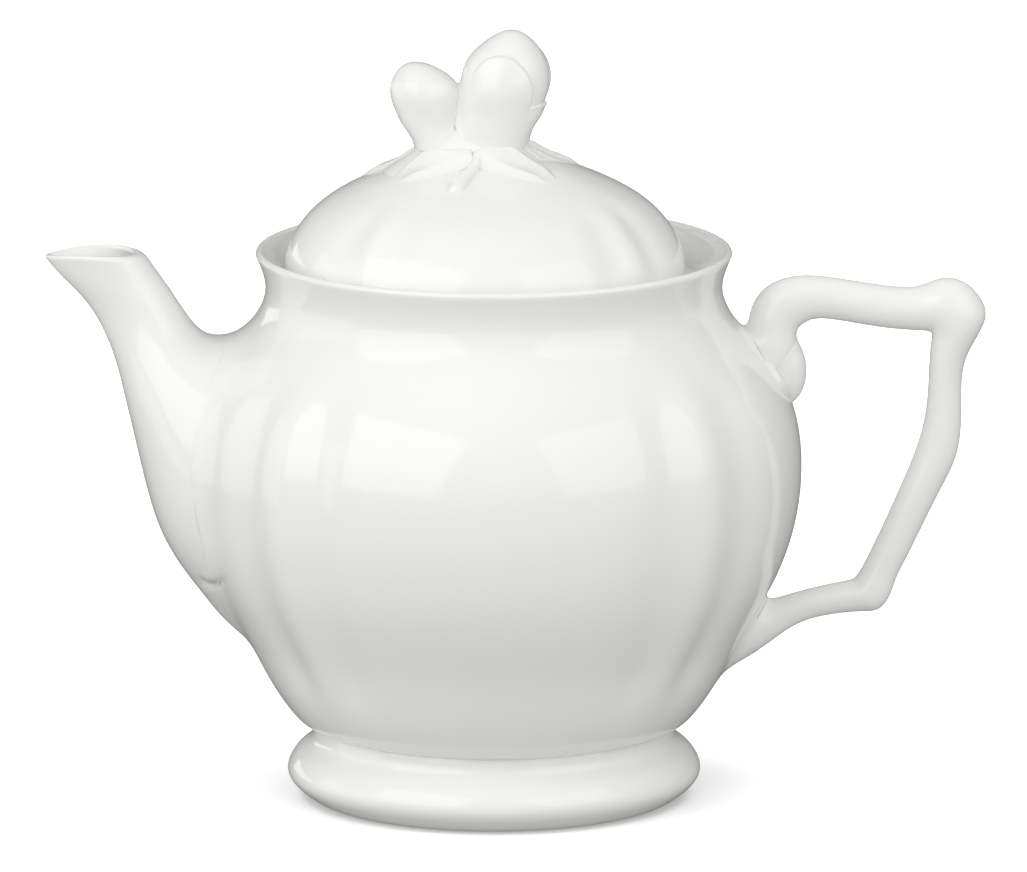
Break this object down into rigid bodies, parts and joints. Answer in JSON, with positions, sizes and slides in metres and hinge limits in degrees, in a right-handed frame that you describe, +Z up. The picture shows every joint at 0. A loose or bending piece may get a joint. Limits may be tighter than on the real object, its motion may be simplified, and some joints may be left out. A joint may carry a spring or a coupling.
{
  "type": "teapot",
  "caption": "Round lobed porcelain teapot on a foot ring, with a curved spout, an angular branch handle and a loose domed lid with a rosebud finial.",
  "frame": {"origin": "middle of the whole teapot's footprint, on the table under the foot ring", "axes": "+Z up; +X towards the handle, so the spout points to -X; +Y away from the viewer of the picture"},
  "size_m": [0.2246, 0.147, 0.1857],
  "materials": {
    "body_porcelain": "white porcelain with a clear glossy glaze",
    "lid_porcelain": "white porcelain with a clear glossy glaze"
  },
  "bodies": {
    "pot": {"pot_body": "body_porcelain", "foot_ring": "body_porcelain", "spout": "body_porcelain", "handle": "body_porcelain", "handle_root_leaf": "body_porcelain"},
    "lid": {"lid_dome": "lid_porcelain", "lid_flange": "lid_porcelain", "finial_stem": "lid_porcelain", "large_bud": "lid_porcelain", "large_bud_front_petal": "lid_porcelain", "large_bud_back_petal": "lid_porcelain", "small_bud": "lid_porcelain", "leaf_front_left": "lid_porcelain", "leaf_front_right": "lid_porcelain", "leaf_left": "lid_porcelain", "leaf_right": "lid_porcelain", "leaf_back": "lid_porcelain", "stem_curl": "lid_porcelain"}
  },
  "joints": [
    {"name": "lid_lift", "type": "slide", "parent": "pot", "child": "lid", "axis": [0, 0, 1], "range_m": [0, 0.06]}
  ]
}
